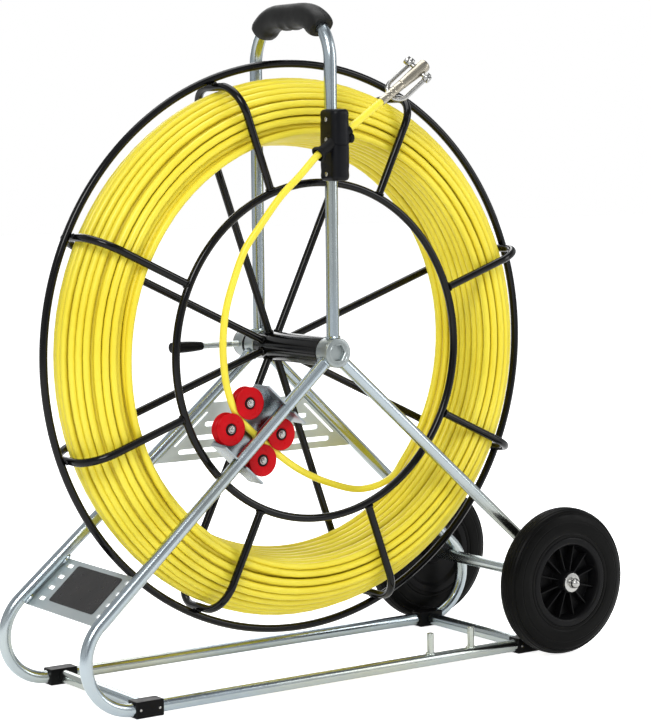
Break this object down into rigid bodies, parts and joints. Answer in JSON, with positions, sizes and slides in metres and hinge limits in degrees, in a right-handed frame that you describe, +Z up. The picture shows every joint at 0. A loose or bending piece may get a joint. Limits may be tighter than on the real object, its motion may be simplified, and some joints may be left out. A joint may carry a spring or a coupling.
{
  "type": "fish tape reel",
  "caption": "Wheeled tube stand with a carrying handle and a turning wire cage that holds a long wound fibreglass rod, led out through rollers and a guide to a pulling head.",
  "frame": {"origin": "on the floor, under the middle of the whole object's box", "axes": "+Z up; +X along the floor rails towards the wheels; the reel turns about an axis along Y, and the rod's guide and rollers are on the -Y side"},
  "size_m": [0.7947, 0.361, 0.8497],
  "materials": {
    "zinc": "bright zinc plating on welded steel tube",
    "bright": "machined and zinc plated steel",
    "cage": "gloss black powder coat",
    "rubber": "black rubber",
    "tyre": "black solid rubber",
    "plastic": "black moulded plastic",
    "grip": "matt black moulded plastic",
    "guide": "anthracite moulded plastic",
    "rod": "bright yellow plastic sheath over a fibreglass core",
    "roller": "bright red moulded plastic"
  },
  "bodies": {
    "stand": {"near_side_tube": "zinc", "far_side_tube": "zinc", "handle_tube": "zinc", "near_boss": "zinc", "far_boss": "zinc", "front_floor_bar": "zinc", "rear_floor_bar": "zinc", "near_front_clamp": "plastic", "near_rear_clamp": "plastic", "far_front_clamp": "plastic", "far_rear_clamp": "plastic", "stowage_pin_1": "zinc", "stowage_pin_2": "zinc", "wheel_axle_tube": "zinc", "wheel_axle_rod": "bright", "label_plate": "zinc", "gusset_plate": "zinc", "grip_left_half": "grip", "grip_right_half": "grip", "guide_block": "guide", "guide_tube": "rubber", "rod_leader": "rod", "rod_ferrule": "bright", "pulling_head": "bright", "roller_bracket": "zinc", "roller_bolt_1": "bright", "roller_bolt_2": "bright", "roller_bolt_3": "bright", "roller_bolt_4": "bright", "friction_ring": "rubber", "brake_collar": "zinc", "near_wheel_nut": "bright", "far_wheel_nut": "bright"},
    "reel": {"hub_tube": "cage", "outer_ring": "cage", "inner_ring": "cage", "rib_1": "cage", "rib_2": "cage", "rib_3": "cage", "rib_4": "cage", "rib_5": "cage", "rib_6": "cage", "rib_7": "cage", "rib_8": "cage", "rod_coil": "rod", "reel_shaft": "bright", "near_shaft_bolt": "zinc"},
    "near_wheel": {"near_tyre": "tyre", "near_rim": "plastic"},
    "far_wheel": {"far_tyre": "tyre", "far_rim": "plastic"},
    "guide_roller_1": {"roller_1": "roller"},
    "guide_roller_2": {"roller_2": "roller"},
    "guide_roller_3": {"roller_3": "roller"},
    "guide_roller_4": {"roller_4": "roller"},
    "head_shackle": {"shackle": "bright", "shackle_pin": "bright"},
    "screw": {"brake_shoe": "rubber", "brake_spindle": "zinc", "brake_grip": "plastic"}
  },
  "joints": [
    {"name": "reel_spin", "type": "hinge", "parent": "stand", "child": "reel", "pos_m": [-0.02674, -0.01125, 0.4152], "axis": [0, 1, 0], "continuous": true},
    {"name": "near_wheel_spin", "type": "hinge", "parent": "stand", "child": "near_wheel", "pos_m": [0.30074, -0.14675, 0.0975], "axis": [0, 1, 0], "continuous": true},
    {"name": "far_wheel_spin", "type": "hinge", "parent": "stand", "child": "far_wheel", "pos_m": [0.30074, 0.14675, 0.0975], "axis": [0, 1, 0], "continuous": true},
    {"name": "roller_spin_1", "type": "hinge", "parent": "stand", "child": "guide_roller_1", "pos_m": [-0.14656, -0.08275, 0.35959], "axis": [0, 1, 0], "continuous": true},
    {"name": "roller_spin_2", "type": "hinge", "parent": "stand", "child": "guide_roller_2", "pos_m": [-0.17426, -0.08275, 0.32936], "axis": [0, 1, 0], "continuous": true},
    {"name": "roller_spin_3", "type": "hinge", "parent": "stand", "child": "guide_roller_3", "pos_m": [-0.10122, -0.08275, 0.31804], "axis": [0, 1, 0], "continuous": true},
    {"name": "roller_spin_4", "type": "hinge", "parent": "stand", "child": "guide_roller_4", "pos_m": [-0.12892, -0.08275, 0.28781], "axis": [0, 1, 0], "continuous": true},
    {"name": "shackle_swing", "type": "hinge", "parent": "stand", "child": "head_shackle", "pos_m": [0.09654, -0.11175, 0.76445], "axis": [0.4524, -0.5878, -0.6707], "range_deg": [0, 150]},
    {"name": "brake_turn", "type": "hinge", "parent": "stand", "child": "screw", "pos_m": [-0.09674, 0.0969, 0.4152], "axis": [-1, 0, 0], "range_deg": [0, 720]}
  ]
}
